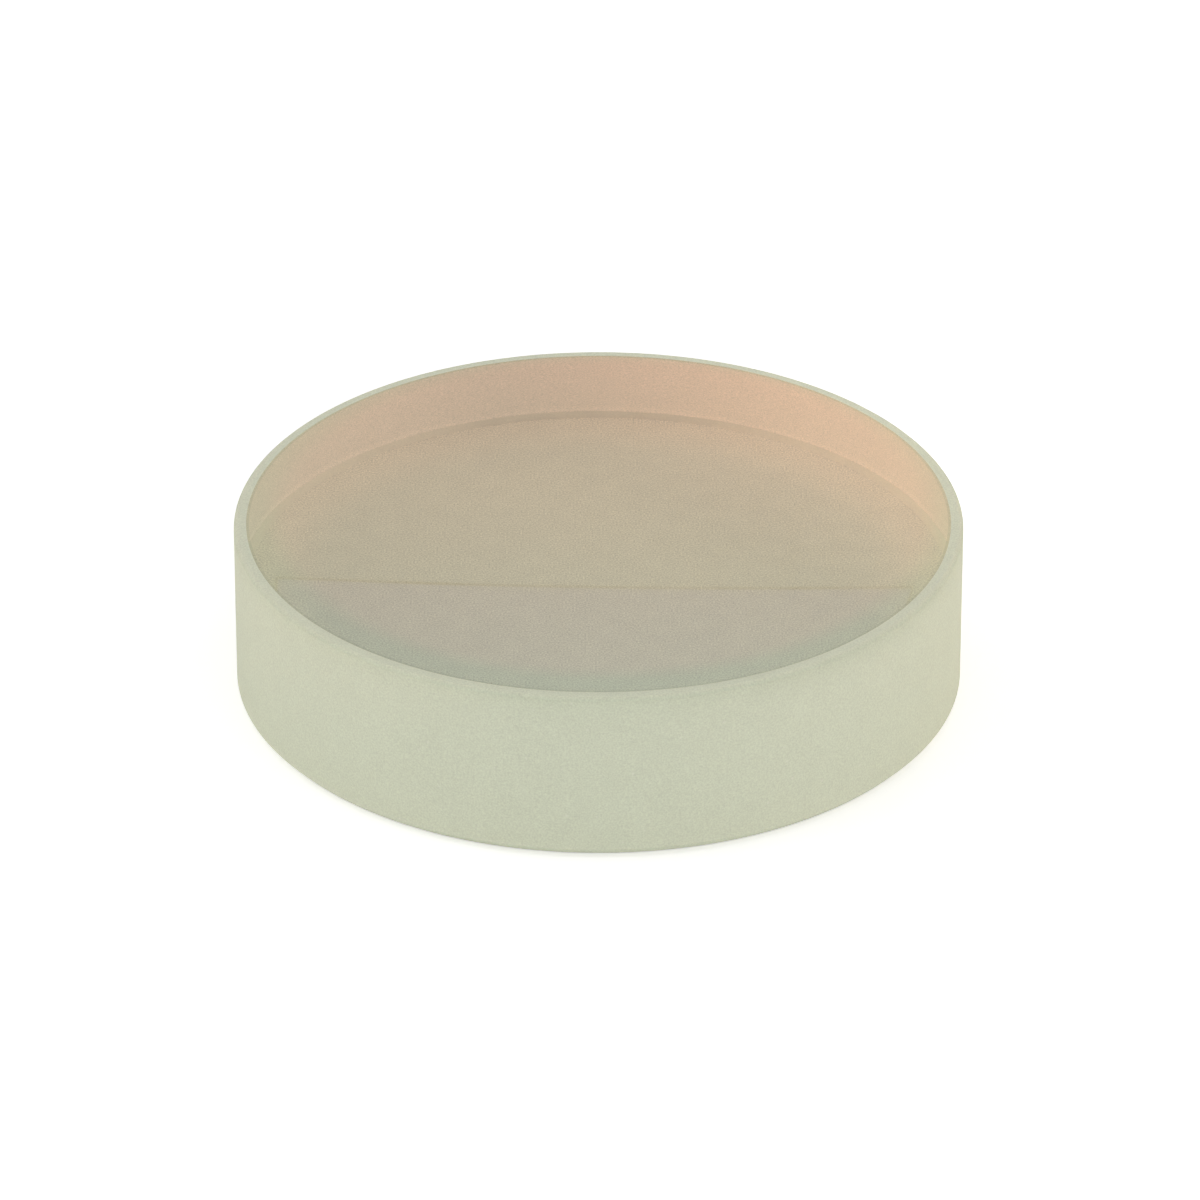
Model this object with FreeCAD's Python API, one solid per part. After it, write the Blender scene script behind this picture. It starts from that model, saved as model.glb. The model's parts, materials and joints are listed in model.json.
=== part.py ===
import FreeCAD, Part
import math
import os

# A concave mirror for the optical bench, made from one round blank of glass.
# The back face is flat, the edge is a plain cylinder, and the front face carries a shallow
# polished hollow that is part of a sphere. The thin reflecting coat on the hollow is a finish
# of that surface and has no thickness of its own here.
#
# Lengths are in millimetres. The origin is the centre of the flat back face, which the mirror
# rests on, and +Z is the optical axis, pointing out of the hollow.

# Blank
diameter = 25.4
edge_thickness = 6.2

# Hollow: the radius of the sphere it is ground to, twice the focal length
curvature_radius = 200.0

# Flat ring left around the hollow, between its rim and the front bevel
rim_land = 0.32

# Legs of the 45 degree bevels that break the two outer edges
front_bevel = 0.13
back_bevel = 0.3

# Sizes that follow from the ones above
edge_radius = diameter / 2
back_face_radius = edge_radius - back_bevel
front_face_radius = edge_radius - front_bevel
aperture_radius = front_face_radius - rim_land
hollow_depth = curvature_radius - math.sqrt(curvature_radius**2 - aperture_radius**2)
centre_thickness = edge_thickness - hollow_depth


def at(radius, height):
    """A point of the half section, at a distance from the axis and a height over the back face."""
    return FreeCAD.Vector(radius, 0, height)


def on_hollow(radius):
    """The point of the spherical hollow at a distance from the axis."""
    drop = math.sqrt(curvature_radius**2 - radius**2)
    return at(radius, centre_thickness + curvature_radius - drop)


def half_section():
    """The face that one side of the axis cuts out of the mirror."""
    ground = [
        at(0, 0),
        at(back_face_radius, 0),
        at(edge_radius, back_bevel),
        at(edge_radius, edge_thickness - front_bevel),
        at(front_face_radius, edge_thickness),
        at(aperture_radius, edge_thickness),
    ]
    hollow = Part.Arc(on_hollow(aperture_radius), on_hollow(aperture_radius / 2), on_hollow(0))
    axis = Part.LineSegment(on_hollow(0), at(0, 0))
    outline = [Part.LineSegment(start, end).toShape() for start, end in zip(ground, ground[1:])]
    outline += [hollow.toShape(), axis.toShape()]
    return Part.Face(Part.Wire(outline))


def concave_mirror():
    """The whole mirror: its half section turned once round the optical axis."""
    return half_section().revolve(at(0, 0), FreeCAD.Vector(0, 0, 1), 360)


def main():
    os.makedirs("parts", exist_ok=True)
    mirror = concave_mirror()
    mirror.exportStep("parts/concave_mirror.step")
    print(f"focal length {curvature_radius / 2:.1f} mm")
    print(f"clear aperture {2 * aperture_radius:.2f} mm, hollow {hollow_depth:.3f} mm deep")
    print(f"centre thickness {centre_thickness:.3f} mm")
    print(f"volume {mirror.Volume:.1f} cubic mm, valid {mirror.isValid()}, solids {len(mirror.Solids)}")


main()
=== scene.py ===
import json
import math

import bmesh
import bpy
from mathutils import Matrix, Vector


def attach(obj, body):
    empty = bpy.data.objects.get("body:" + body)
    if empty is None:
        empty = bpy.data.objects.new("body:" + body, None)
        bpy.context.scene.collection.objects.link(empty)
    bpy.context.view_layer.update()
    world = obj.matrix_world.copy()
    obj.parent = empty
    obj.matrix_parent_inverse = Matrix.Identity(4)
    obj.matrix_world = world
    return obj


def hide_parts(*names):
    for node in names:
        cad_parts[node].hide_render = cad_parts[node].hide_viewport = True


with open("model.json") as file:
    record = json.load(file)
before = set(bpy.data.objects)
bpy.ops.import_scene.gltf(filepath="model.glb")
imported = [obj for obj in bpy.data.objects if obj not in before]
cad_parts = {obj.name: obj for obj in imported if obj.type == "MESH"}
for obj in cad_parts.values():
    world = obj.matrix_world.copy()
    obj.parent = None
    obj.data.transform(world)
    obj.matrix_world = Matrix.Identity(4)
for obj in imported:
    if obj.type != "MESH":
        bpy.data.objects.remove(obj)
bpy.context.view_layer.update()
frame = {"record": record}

# A concave mirror: one blank of ground glass with a polished and coated hollow in its front face.
# Lengths are in metres, in the frame of the mirror: +Z is the optical axis and the back face is at zero.

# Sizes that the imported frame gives
MM_PER_METRE = 1000
MOUNTS = {mount["name"]: mount for mount in frame["record"]["mounts"]}
EDGE_RADIUS = MOUNTS["edge"]["dims"]["r_mm"] / MM_PER_METRE
EDGE_MIDDLE = MOUNTS["edge"]["pos_m"][2]
EDGE_HALF = MOUNTS["edge"]["dims"]["length_mm"] / 2 / MM_PER_METRE
RIM_HEIGHT = MOUNTS["front_rim"]["pos_m"][2]
RIM_MIDDLE = MOUNTS["front_rim"]["pos_m"][0]
BACK_BEVEL = EDGE_MIDDLE - EDGE_HALF
FRONT_BEVEL = RIM_HEIGHT - EDGE_MIDDLE - EDGE_HALF
BACK_RADIUS = EDGE_RADIUS - BACK_BEVEL
FRONT_RADIUS = EDGE_RADIUS - FRONT_BEVEL
HOLLOW_RADIUS = 2 * RIM_MIDDLE - FRONT_RADIUS

# The sphere that the hollow is ground to
CURVATURE = 0.200
CENTRE_HEIGHT = RIM_HEIGHT + math.sqrt(CURVATURE**2 - HOLLOW_RADIUS**2)

# The blank's mesh
TURN_STEPS = 288
HOLLOW_RINGS = 30
BACK_RINGS = 8
ARRIS_WIDTH = 0.00004
ARRIS_STEPS = 3
ARRIS_ROUND = 0.5
SHARP_ANGLE = math.radians(2.5)
MERGE_DISTANCE = 1e-7

# Order of the materials on the blank
HOLLOW, EDGE, BACK_CHAMFER, BACK = range(4)

# The coat on the hollow: its tint looked at steeply and aslant, and the facing values between which
# it turns. All its tints were fitted to the photo by trials, so some of the photo's light is in them.
COAT_STEEP = (0.714, 0.357, 0.187, 1)
COAT_SLANT = (0.57, 0.53, 0.30, 1)
COAT_TURN = (0.46, 0.58)
# Painted warm light: it is warmer and brighter towards the back right, from one distance to another along
# that way
PAINTED_WARM_LIGHT = (1.17, 1.08, 1.08, 1)
PAINTED_LIGHT_WAY = (0.8, 0.6, 0)
PAINTED_LIGHT_SPAN = (0.002, 0.009)
# Towards the rim it turns greener and darker, partly as the coat thins and partly as painted shade of the
# near wall, round a middle a little off the axis so that the painted shade is widest at the front left; it
# ends in a thin darker line
COAT_RIM_TINT_AND_SHADE = (0.79, 1.0, 0.935, 1)
RIM_SHADE_MIDDLE = (0.0002, 0.0006, 0)
RIM_TINT_AND_SHADE_WIDTH = 0.0014
COAT_LINE = (0.75, 0.81, 0.76, 1)
COAT_LINE_WIDTH = 0.00010
COAT_LINE_CORE = 0.00006
# What it lets through of the lamps' light, which goes straight on under it instead of being bent
COAT_LIGHT = (1.0, 0.94, 0.88, 1)
GLASS_IOR = 1.517

# Ground glass seen from outside: its colour, a paler copy for the front bevel and rim land that paints in
# the brighter light on these upward faces, its grain and its roughness
OUTSIDE = (0.565, 0.63, 0.48, 1)
PAINTED_LIT_LAND = (0.66, 0.69, 0.545, 1)
OUTER_GRAIN = 0.9
FROST_ROUGHNESS = 0.6

# Ground glass seen from inside, per surface: its colour, which holds painted light, its brighter colour by
# the back bevel, which is painted light, and how far from the corner that reaches, how bright its part
# behind stays under painted shade, its glow, grain, bump and bright pits. The colours, the part behind and
# the glow were fitted to the photo by trials too. They are fixed to the mirror, from wherever it is seen.
# The bump and the roughness hold for both sides.
INSIDES = {
    "ground_edge": {
        "inside": (0.75, 0.66, 0.71, 1),
        "painted_light_by_bevel": (0.86, 0.765, 0.81, 1),
        "reach": 0.0011,
        "behind": 0.92,
        "glow": 0.45,
        "inner_grain": 1.9,
        "bump": 0.3,
        "pits": 0.3,
    },
    "ground_chamfer": {
        "inside": (0.85, 0.86, 0.84, 1),
        "painted_light_by_bevel": (0.85, 0.86, 0.84, 1),
        "reach": 0.0011,
        "behind": 0.83,
        "glow": 0.3,
        "inner_grain": 0.5,
        "bump": 0.1,
        "pits": 0.0,
    },
    "ground_back": {
        "inside": (0.675, 0.74, 0.715, 1),
        "painted_light_by_bevel": (0.79, 0.81, 0.77, 1),
        "reach": 0.0031,
        "behind": 1.0,
        "glow": 0.0,
        "inner_grain": 1.3,
        "bump": 0.3,
        "pits": 0.0,
    },
}
# Where along Y the painted shade of its part behind starts, and where it is full
PAINTED_SHADE_START = 0.0105
PAINTED_SHADE_FULL = 0.0127
# The colour of the light that comes through it
THROUGH = (0.865, 0.90, 0.775, 1)

# Its grain, soft mottle and bright pits
GRAIN_PER_METRE = 16000
GRAIN_DETAIL = 2.0
MOTTLE_PER_METRE = 1100
MOTTLE_DETAIL = 3.0
PITS_PER_METRE = 1500
MOTTLE = 0.15
PIT_EDGE = (0.10, 0.04)
PIT_COLOUR = (0.9, 0.9, 0.85, 1)
RELIEF = 0.00002

# The studio
CAMERA_AIM = Vector((0.00005, 0, 0.00293))
CAMERA_RISE = math.radians(29.03)
CAMERA_DISTANCE = 0.300
CAMERA_LENS = 257.1
CAMERA_SENSOR = 36
CAMERA_NEAR = 0.01
CAMERA_FAR = 20
WHITE = (1, 1, 1, 1)
WORLD_TOP = 0.25
WORLD_SIDE = 0.94
WORLD_FRONT = 0.84
WORLD_BACK = 0.05
FRONT_TO_BACK = (-0.3, 0.3)
LEVEL_TO_SIDE = (0.3, 0.95)
LEVEL_TO_TOP = (0.3, 0.9)
FLOOR_SIZE = 3
FLOOR_GAP = 0.00002
FLOOR_COLOUR = (0.85, 0.85, 0.85, 1)
FLOOR_LIFT = (0.42, 0.42, 0.42, 1)
CARD = (0.90, 0.86, 1.10, 1)
HEM = (0.66, 0.55, 0.45, 1)
CARD_SIZE = 0.25
CARD_DISTANCE = 0.200
CARD_HEIGHT = 0.1076
CARD_TILT = math.radians(4.1)
CARD_HEM = 0.0006

# Lamps: name, turn and rise in degrees, distance, size, power, colour
LAMPS = [
    ("right_lamp", 0, 4, 0.30, 0.08, 0.09, (1.0, 0.35, 0.05)),
    ("left_lamp", 180, 4, 0.30, 0.08, 0.045, (1.0, 0.35, 0.05)),
    ("near_right", 30, 4.3, 0.06, 0.006, 0.0040, (1.0, 0.66, 0.26)),
    ("rim_light", 42, 35, 0.03, 0.004, 0.00055, (1.0, 0.93, 0.85)),
    ("over_right", 0, 50, 0.30, 0.20, 0.068, WHITE[:3]),
    ("over_left", 180, 50, 0.30, 0.20, 0.160, WHITE[:3]),
    ("overhead", 0, 89, 0.30, 0.20, 0.17, WHITE[:3]),
    ("front_fill", -90, 3, 0.50, 0.12, 0.25, WHITE[:3]),
]


# The blank

def half_section(blank):
    """Half of the blank's outline, from the middle of the hollow to the middle of the back."""
    middle = blank.verts.new((0, 0, CENTRE_HEIGHT - CURVATURE))
    hollow = bmesh.ops.spin(
        blank,
        geom=[middle],
        cent=(0, 0, CENTRE_HEIGHT),
        axis=(0, 1, 0),
        angle=-math.asin(HOLLOW_RADIUS / CURVATURE),
        steps=HOLLOW_RINGS,
    )
    rim = next(item for item in hollow["geom_last"] if isinstance(item, bmesh.types.BMVert))
    corners = [
        (FRONT_RADIUS, RIM_HEIGHT),
        (EDGE_RADIUS, RIM_HEIGHT - FRONT_BEVEL),
        (EDGE_RADIUS, BACK_BEVEL),
        (BACK_RADIUS, 0),
        (0, 0),
    ]
    chain = [rim] + [blank.verts.new((radius, 0, height)) for radius, height in corners]
    edges = [blank.edges.new(pair) for pair in zip(chain, chain[1:])]
    bmesh.ops.subdivide_edges(blank, edges=[edges[-1]], cuts=BACK_RINGS - 1)


def surface_at(point):
    """Which of the four surfaces a point of the skin belongs to."""
    radius = math.hypot(point.x, point.y)
    if point.z > RIM_HEIGHT / 2:
        return HOLLOW if radius < HOLLOW_RADIUS else EDGE
    if radius < BACK_RADIUS:
        return BACK
    return BACK_CHAMFER if point.z < BACK_BEVEL else EDGE


def turned_blank():
    """The blank, spun once round its axis, with its arrises softened."""
    blank = bmesh.new()
    half_section(blank)
    bmesh.ops.spin(
        blank,
        geom=blank.verts[:] + blank.edges[:],
        cent=(0, 0, 0),
        axis=(0, 0, 1),
        angle=2 * math.pi,
        steps=TURN_STEPS,
        use_merge=True,
    )
    bmesh.ops.remove_doubles(blank, verts=blank.verts, dist=MERGE_DISTANCE)
    bmesh.ops.recalc_face_normals(blank, faces=blank.faces)
    arrises = [edge for edge in blank.edges if edge.calc_face_angle(0) > SHARP_ANGLE]
    bmesh.ops.bevel(
        blank,
        geom=arrises,
        offset=ARRIS_WIDTH,
        offset_type="OFFSET",
        affect="EDGES",
        segments=ARRIS_STEPS,
        profile=ARRIS_ROUND,
        material=-1,
    )
    for face in blank.faces:
        face.smooth = True
        face.material_index = surface_at(face.calc_center_median())
    mesh = bpy.data.meshes.new("mirror_blank")
    blank.to_mesh(mesh)
    blank.free()
    return mesh


# Node helpers

def new_material(name):
    """An empty node material and its tree."""
    material = bpy.data.materials.new(name)
    material.use_nodes = True
    material.node_tree.nodes.clear()
    return material, material.node_tree


def add(tree, kind, values=None, **settings):
    """A node of a kind with its settings, and values for its inputs: numbers, colours or sockets."""
    node = tree.nodes.new(kind)
    for name, value in settings.items():
        setattr(node, name, value)
    for name, value in (values or {}).items():
        if isinstance(value, bpy.types.NodeSocket):
            tree.links.new(value, node.inputs[name])
        else:
            node.inputs[name].default_value = value
    return node


def maths(tree, operation, *values):
    """The output of a Math node on numbers or sockets."""
    return add(tree, "ShaderNodeMath", dict(enumerate(values)), operation=operation).outputs[0]


def colour_mix(tree, factor, first, second, blend="MIX"):
    """The colour output of a Mix node between two colours."""
    mix = add(tree, "ShaderNodeMix", data_type="RGBA", blend_type=blend)
    for name, value in (("Factor_Float", factor), ("A_Color", first), ("B_Color", second)):
        socket = next(s for s in mix.inputs if s.identifier == name)
        if isinstance(value, bpy.types.NodeSocket):
            tree.links.new(value, socket)
        else:
            socket.default_value = value
    return next(s for s in mix.outputs if s.identifier == "Result_Color")


def fade(tree, value, start, end, low=0.0, high=1.0):
    """A number that goes from low to high while a value goes from start to end, and stays there."""
    values = {"Value": value, "From Min": start, "From Max": end, "To Min": low, "To Max": high}
    node = add(tree, "ShaderNodeMapRange", values, interpolation_type="SMOOTHSTEP")
    return node.outputs["Result"]


def axis_distance(tree, place, axis=(0, 0, 0)):
    """A point's distance from an upright axis."""
    flat = add(tree, "ShaderNodeVectorMath", {0: place, 1: (1, 1, 0)}, operation="MULTIPLY").outputs[0]
    return add(tree, "ShaderNodeVectorMath", {0: flat, 1: axis}, operation="DISTANCE").outputs["Value"]


def about_zero(tree, noise, strength):
    """A noise's output, moved to swing about zero and set to a strength."""
    return maths(tree, "MULTIPLY", maths(tree, "SUBTRACT", noise.outputs[0], 0.5), strength)


def mixed_surface(tree, factor, first, second):
    """The material's surface: a mix of two shaders."""
    both = add(tree, "ShaderNodeMixShader", {"Fac": factor, 1: first.outputs[0], 2: second.outputs[0]})
    add(tree, "ShaderNodeOutputMaterial", {"Surface": both.outputs[0]})


# Shader group that the ground surfaces share

def ground_grain_group():
    """Node group: the grain, the soft mottle and the rare bright pits of ground glass."""
    tree = bpy.data.node_groups.new("ground_grain", "ShaderNodeTree")
    for name, kind in (("Colour", "Color"), ("Grain", "Float"), ("Mottle", "Float"), ("Pits", "Float")):
        tree.interface.new_socket(name, in_out="INPUT", socket_type=f"NodeSocket{kind}")
    for name, kind in (("Colour", "Color"), ("Height", "Float")):
        tree.interface.new_socket(name, in_out="OUTPUT", socket_type=f"NodeSocket{kind}")
    given = add(tree, "NodeGroupInput")
    place = add(tree, "ShaderNodeTexCoord").outputs["Object"]
    grain_values = {"Vector": place, "Scale": GRAIN_PER_METRE, "Detail": GRAIN_DETAIL}
    mottle_values = {"Vector": place, "Scale": MOTTLE_PER_METRE, "Detail": MOTTLE_DETAIL}
    grain = add(tree, "ShaderNodeTexNoise", grain_values)
    mottle = add(tree, "ShaderNodeTexNoise", mottle_values)
    pits = add(tree, "ShaderNodeTexVoronoi", {"Vector": place, "Scale": PITS_PER_METRE})
    grain_part = about_zero(tree, grain, given.outputs["Grain"])
    mottle_part = about_zero(tree, mottle, given.outputs["Mottle"])
    shade = maths(tree, "ADD", maths(tree, "ADD", grain_part, mottle_part), 1.0)
    shaded = colour_mix(tree, 1.0, given.outputs["Colour"], shade, "MULTIPLY")
    pitted = maths(tree, "MULTIPLY", fade(tree, pits.outputs["Distance"], *PIT_EDGE), given.outputs["Pits"])
    colour = colour_mix(tree, pitted, shaded, PIT_COLOUR)
    add(tree, "NodeGroupOutput", {"Colour": colour, "Height": grain.outputs[0]})
    return tree


# Materials

def hollow_coat():
    """The polished hollow with its thin warm coat: clear glass that bends and tints what is under it. Its
    tint also holds painted warm light towards the back right and painted shade towards the rim.
    """
    material, tree = new_material("coated_hollow")
    place = add(tree, "ShaderNodeTexCoord").outputs["Object"]
    slant = add(tree, "ShaderNodeLayerWeight", {"Blend": 0.5}).outputs["Facing"]
    tint = colour_mix(tree, fade(tree, slant, *COAT_TURN), COAT_STEEP, COAT_SLANT)
    # The coat's greener edge and painted shade towards the rim, widest at the front left
    rim_shade_start, line_start = HOLLOW_RADIUS - RIM_TINT_AND_SHADE_WIDTH, HOLLOW_RADIUS - COAT_LINE_WIDTH
    rim = fade(tree, axis_distance(tree, place, RIM_SHADE_MIDDLE), rim_shade_start, line_start)
    # Painted warm light on the coat towards the back right
    towards_light = add(tree, "ShaderNodeVectorMath", {0: place, 1: PAINTED_LIGHT_WAY}, operation="DOT_PRODUCT")
    painted_warmth = colour_mix(tree, fade(tree, towards_light.outputs["Value"], *PAINTED_LIGHT_SPAN), WHITE, PAINTED_WARM_LIGHT)
    tint = colour_mix(tree, 1.0, tint, painted_warmth, "MULTIPLY")
    rim_tinted_and_shaded = colour_mix(tree, rim, tint, colour_mix(tree, 1.0, tint, COAT_RIM_TINT_AND_SHADE, "MULTIPLY"))
    line = fade(tree, axis_distance(tree, place), line_start, HOLLOW_RADIUS - COAT_LINE_CORE)
    lined = colour_mix(tree, line, rim_tinted_and_shaded, colour_mix(tree, 1.0, rim_tinted_and_shaded, COAT_LINE, "MULTIPLY"))
    glass = add(tree, "ShaderNodeBsdfPrincipled", {
        "Base Color": lined,
        "Roughness": 0.0,
        "IOR": GLASS_IOR,
        "Transmission Weight": 1.0,
    })
    let_in = add(tree, "ShaderNodeBsdfTransparent", {"Color": COAT_LIGHT})
    path = add(tree, "ShaderNodeLightPath")
    lamps = maths(tree, "MAXIMUM", path.outputs["Is Shadow Ray"], path.outputs["Is Diffuse Ray"])
    mixed_surface(tree, lamps, glass, let_in)
    return material


def ground_glass(name, grain_group, inside, painted_light_by_bevel, reach, behind, glow, inner_grain, bump, pits):
    """Finely ground glass, seen from outside or, through the hollow, from inside. Outside, its paler rim
    land is painted light; inside, its colour holds painted light, brighter by the back bevel, and painted
    shade over its part behind.
    """
    material, tree = new_material(name)
    place = add(tree, "ShaderNodeTexCoord").outputs["Object"]
    ways = add(tree, "ShaderNodeSeparateXYZ", {"Vector": place})
    along, height = ways.outputs["Y"], ways.outputs["Z"]
    # Painted light: the front bevel and rim land are paler than the side below them
    outside_and_lit_land = colour_mix(tree, fade(tree, height, RIM_HEIGHT - FRONT_BEVEL, RIM_HEIGHT), OUTSIDE, PAINTED_LIT_LAND)
    section = add(tree, "ShaderNodeCombineXYZ", {"X": axis_distance(tree, place), "Z": height}).outputs[0]
    away = add(tree, "ShaderNodeVectorMath", {0: section, 1: (EDGE_RADIUS, 0, 0)}, operation="DISTANCE")
    # Painted light: brighter towards the corner by the back bevel
    inside_with_painted_light = colour_mix(tree, fade(tree, away.outputs["Value"], reach, BACK_BEVEL), inside, painted_light_by_bevel)
    # Painted shade: darker over its part behind
    shaded = fade(tree, along, PAINTED_SHADE_START, PAINTED_SHADE_FULL, 1.0, behind)
    inside_with_painted_light = colour_mix(tree, 1.0, inside_with_painted_light, shaded, "MULTIPLY")
    backfacing = add(tree, "ShaderNodeNewGeometry").outputs["Backfacing"]
    grained = add(tree, "ShaderNodeGroup", node_tree=grain_group)
    tree.links.new(colour_mix(tree, backfacing, outside_and_lit_land, inside_with_painted_light), grained.inputs["Colour"])
    tree.links.new(fade(tree, backfacing, 0.0, 1.0, OUTER_GRAIN, inner_grain), grained.inputs["Grain"])
    grained.inputs["Mottle"].default_value = MOTTLE
    grained.inputs["Pits"].default_value = pits
    relief = add(tree, "ShaderNodeBump", {
        "Strength": bump,
        "Distance": RELIEF,
        "Height": grained.outputs["Height"],
    })
    frost = add(tree, "ShaderNodeBsdfPrincipled", {
        "Base Color": grained.outputs["Colour"],
        "Roughness": FROST_ROUGHNESS,
        "IOR": GLASS_IOR,
        "Normal": relief.outputs[0],
    })
    through = add(tree, "ShaderNodeBsdfTranslucent", {"Color": THROUGH})
    mixed_surface(tree, glow, frost, through)
    return material


def make_blank():
    """The mirror itself, in place of its plain solid."""
    piece = bpy.data.objects.new("mirror_blank", turned_blank())
    bpy.context.scene.collection.objects.link(piece)
    grain = ground_grain_group()
    piece.data.materials.append(hollow_coat())
    for name, finish in INSIDES.items():
        piece.data.materials.append(ground_glass(name, grain, **finish))
    piece.modifiers.new("even_shading", "WEIGHTED_NORMAL").keep_sharp = False
    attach(piece, "root")
    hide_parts("concave_mirror")


# Studio

def make_camera():
    """A long lens that looks down on the mirror as the photograph does."""
    data = bpy.data.cameras.new("camera")
    data.lens = CAMERA_LENS
    data.sensor_width = CAMERA_SENSOR
    data.clip_start = CAMERA_NEAR
    data.clip_end = CAMERA_FAR
    camera = bpy.data.objects.new("camera", data)
    towards = Vector((0, -math.cos(CAMERA_RISE), math.sin(CAMERA_RISE)))
    camera.location = CAMERA_AIM + CAMERA_DISTANCE * towards
    camera.rotation_euler = (-towards).to_track_quat("-Z", "Y").to_euler()
    bpy.context.scene.collection.objects.link(camera)
    bpy.context.scene.camera = camera


def stage_plane(name, size, material):
    """A plain plane of the studio, no part of the mirror."""
    plane = bmesh.new()
    bmesh.ops.create_grid(plane, x_segments=1, y_segments=1, size=size)
    mesh = bpy.data.meshes.new(name)
    plane.to_mesh(mesh)
    plane.free()
    mesh.materials.append(material)
    obj = bpy.data.objects.new(name, mesh)
    bpy.context.scene.collection.objects.link(obj)
    return obj


def make_floor():
    """A wide plain floor just under the back face."""
    material, tree = new_material("pale_floor")
    path = add(tree, "ShaderNodeLightPath")
    matt = add(tree, "ShaderNodeBsdfDiffuse", {"Color": FLOOR_COLOUR})
    lift = add(tree, "ShaderNodeEmission", {"Color": FLOOR_LIFT, "Strength": path.outputs["Is Camera Ray"]})
    both = add(tree, "ShaderNodeAddShader", {0: matt.outputs[0], 1: lift.outputs[0]})
    add(tree, "ShaderNodeOutputMaterial", {"Surface": both.outputs[0]})
    stage_plane("floor", FLOOR_SIZE, material).location.z = -FLOOR_GAP


def make_card():
    """A pale card behind the mirror with a darker hem, seen only as a faint line mirrored in the hollow."""
    for name, colour, drop in (("card", CARD, CARD_HEM), ("card_hem", HEM, 0.0)):
        material, tree = new_material(name)
        light = add(tree, "ShaderNodeEmission", {"Color": colour, "Strength": 1.0})
        add(tree, "ShaderNodeOutputMaterial", {"Surface": light.outputs[0]})
        card = stage_plane(name, CARD_SIZE, material)
        card.rotation_euler = (math.pi / 2, CARD_TILT, 0)
        up = Vector((math.sin(CARD_TILT), 0, math.cos(CARD_TILT)))
        top = Vector((0, CARD_DISTANCE - drop, CARD_HEIGHT - drop))
        card.location = top - CARD_SIZE * up
        for ray in ("camera", "diffuse", "transmission", "volume_scatter", "shadow"):
            setattr(card, f"visible_{ray}", False)


def make_world():
    """A room that lights from the sides and the front, is dim behind and overhead, and looks white."""
    world = bpy.data.worlds.new("room")
    bpy.context.scene.world = world
    world.use_nodes = True
    tree = world.node_tree
    tree.nodes.clear()
    path = add(tree, "ShaderNodeLightPath")
    seen = maths(tree, "MAXIMUM", path.outputs["Is Camera Ray"], path.outputs["Is Glossy Ray"])
    seen = maths(tree, "MAXIMUM", seen, path.outputs["Is Transmission Ray"])
    direction = add(tree, "ShaderNodeTexCoord").outputs["Generated"]
    ways = add(tree, "ShaderNodeSeparateXYZ", {"Vector": direction})
    across, along, height = (ways.outputs[way] for way in "XYZ")
    sideways = maths(tree, "ABSOLUTE", maths(tree, "COSINE", maths(tree, "ARCTAN2", along, across)))
    depth = fade(tree, along, *FRONT_TO_BACK, WORLD_FRONT, WORLD_BACK)
    level = fade(tree, sideways, *LEVEL_TO_SIDE, depth, WORLD_SIDE)
    light = fade(tree, height, *LEVEL_TO_TOP, level, WORLD_TOP)
    lit = add(tree, "ShaderNodeBackground", {"Color": WHITE, "Strength": light})
    white = add(tree, "ShaderNodeBackground", {"Color": WHITE, "Strength": 1.0})
    both = add(tree, "ShaderNodeMixShader", {"Fac": seen, 1: lit.outputs[0], 2: white.outputs[0]})
    add(tree, "ShaderNodeOutputWorld", {"Surface": both.outputs[0]})


def make_lamp(name, turn, rise, distance, size, power, colour):
    """A soft square lamp that faces the mirror, placed by its direction and distance."""
    data = bpy.data.lights.new(name, "AREA")
    data.shape = "SQUARE"
    data.size = size
    data.energy = power
    data.color = colour
    lamp = bpy.data.objects.new(name, data)
    turn, rise = math.radians(turn), math.radians(rise)
    towards = Vector((math.cos(rise) * math.cos(turn), math.cos(rise) * math.sin(turn), math.sin(rise)))
    lamp.location = distance * towards
    lamp.rotation_euler = (-towards).to_track_quat("-Z", "Y").to_euler()
    lamp.visible_camera = False
    lamp.visible_glossy = False
    bpy.context.scene.collection.objects.link(lamp)


make_blank()
make_floor()
make_card()
make_world()
for lamp in LAMPS:
    make_lamp(*lamp)
make_camera()
bpy.context.scene.view_settings.view_transform = "Standard"
